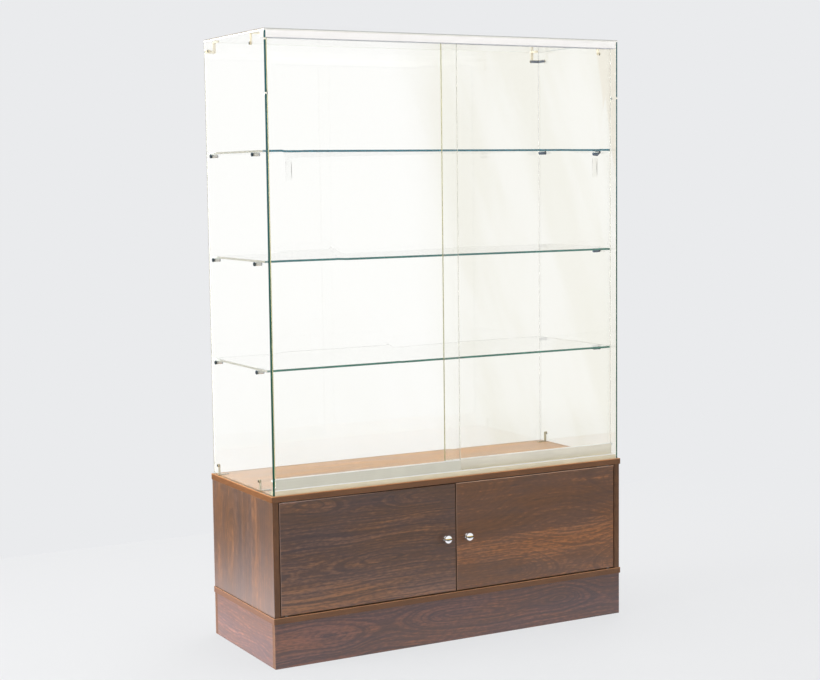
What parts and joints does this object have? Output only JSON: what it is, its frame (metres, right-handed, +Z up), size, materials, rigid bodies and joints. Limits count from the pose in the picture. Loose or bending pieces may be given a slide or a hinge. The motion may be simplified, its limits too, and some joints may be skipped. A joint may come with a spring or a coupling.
{
  "type": "glass display case with cupboard base",
  "caption": "Glass display case with sliding glass doors and glass shelves on a wood cupboard base with hinged doors.",
  "frame": {"origin": "On the floor, under the middle of the whole case with its knobs.", "axes": "+X to the right seen from the front, -Y to the front where the doors are, +Z up."},
  "size_m": [1.2, 0.473, 1.8025],
  "materials": {
    "walnut_board": "walnut laminate, satin",
    "wood_edging": "light walnut edging, satin",
    "beech": "plain",
    "clear_glass": "clear float glass with polished edges",
    "chrome": "polished",
    "steel": "zinc plated",
    "aluminium": "anodised, satin",
    "white_plastic": "moulded",
    "dark_plastic": "moulded",
    "clear_soft": "soft clear plastic"
  },
  "bodies": {
    "case": {"plinth_front_board": "walnut_board", "plinth_back_board": "walnut_board", "plinth_left_board": "walnut_board", "plinth_right_board": "walnut_board", "cupboard_floor": "walnut_board", "cupboard_floor_edging": "wood_edging", "cupboard_left_side": "walnut_board", "cupboard_right_side": "walnut_board", "cupboard_divider": "walnut_board", "cupboard_back_panel": "walnut_board", "base_top": "walnut_board", "base_top_edging": "wood_edging", "joint_dowels": "beech", "hinge_bushes": "dark_plastic", "hinge_washers": "steel", "catch_bodies": "dark_plastic", "catch_magnets": "steel", "wood_screws": "steel", "left_side_glass": "clear_glass", "right_side_glass": "clear_glass", "back_glass": "clear_glass", "top_glass": "clear_glass", "lower_shelf": "clear_glass", "middle_shelf": "clear_glass", "upper_shelf": "clear_glass", "shelf_support_bolts": "chrome", "shelf_support_pegs": "chrome", "shelf_support_pads": "clear_soft", "base_brackets": "chrome", "top_brackets": "chrome", "corner_connectors": "chrome", "glass_bolts": "chrome", "top_track": "aluminium", "bottom_track": "aluminium", "door_bumpers": "clear_soft"},
    "left_slider": {"left_sliding_glass": "clear_glass", "left_shoe_gasket": "clear_soft", "left_shoe": "aluminium", "left_roller_axles": "steel"},
    "left_outer_wheel": {"left_outer_roller": "white_plastic"},
    "left_inner_wheel": {"left_inner_roller": "white_plastic"},
    "right_slider": {"right_sliding_glass": "clear_glass", "right_shoe_gasket": "clear_soft", "right_shoe": "aluminium", "right_roller_axles": "steel"},
    "right_outer_wheel": {"right_outer_roller": "white_plastic"},
    "right_inner_wheel": {"right_inner_roller": "white_plastic"},
    "left_leaf": {"left_cupboard_door": "walnut_board", "left_door_edging": "wood_edging", "left_hinge_plates": "steel", "left_door_screws": "steel", "left_knob": "chrome", "left_strike_plate": "steel"},
    "right_leaf": {"right_cupboard_door": "walnut_board", "right_door_edging": "wood_edging", "right_hinge_plates": "steel", "right_door_screws": "steel", "right_knob": "chrome", "right_strike_plate": "steel"}
  },
  "joints": [
    {"name": "left_door_slide", "type": "slide", "parent": "case", "child": "left_slider", "axis": [1, 0, 0], "range_m": [0, 0.555]},
    {"name": "right_door_slide", "type": "slide", "parent": "case", "child": "right_slider", "axis": [-1, 0, 0], "range_m": [0, 0.555]},
    {"name": "left_outer_roller_spin", "type": "hinge", "parent": "left_slider", "child": "left_outer_wheel", "pos_m": [-0.5225, -0.1987, 0.5108], "axis": [0, 1, 0], "continuous": true},
    {"name": "left_inner_roller_spin", "type": "hinge", "parent": "left_slider", "child": "left_inner_wheel", "pos_m": [-0.0375, -0.1987, 0.5108], "axis": [0, 1, 0], "continuous": true},
    {"name": "right_outer_roller_spin", "type": "hinge", "parent": "right_slider", "child": "right_outer_wheel", "pos_m": [0.5225, -0.1837, 0.5108], "axis": [0, 1, 0], "continuous": true},
    {"name": "right_inner_roller_spin", "type": "hinge", "parent": "right_slider", "child": "right_inner_wheel", "pos_m": [0.0375, -0.1837, 0.5108], "axis": [0, 1, 0], "continuous": true},
    {"name": "left_leaf_hinge", "type": "hinge", "parent": "case", "child": "left_leaf", "pos_m": [-0.558, -0.2015, 0.314], "axis": [0, 0, -1], "range_deg": [0, 110]},
    {"name": "right_leaf_hinge", "type": "hinge", "parent": "case", "child": "right_leaf", "pos_m": [0.558, -0.2015, 0.314], "axis": [0, 0, 1], "range_deg": [0, 110]}
  ],
  "couplings": [
    {"joint": "left_outer_roller_spin", "follows": "left_door_slide", "rad_per_m": 181.82},
    {"joint": "left_inner_roller_spin", "follows": "left_door_slide", "rad_per_m": 181.82},
    {"joint": "right_outer_roller_spin", "follows": "right_door_slide", "rad_per_m": -181.82},
    {"joint": "right_inner_roller_spin", "follows": "right_door_slide", "rad_per_m": -181.82}
  ]
}
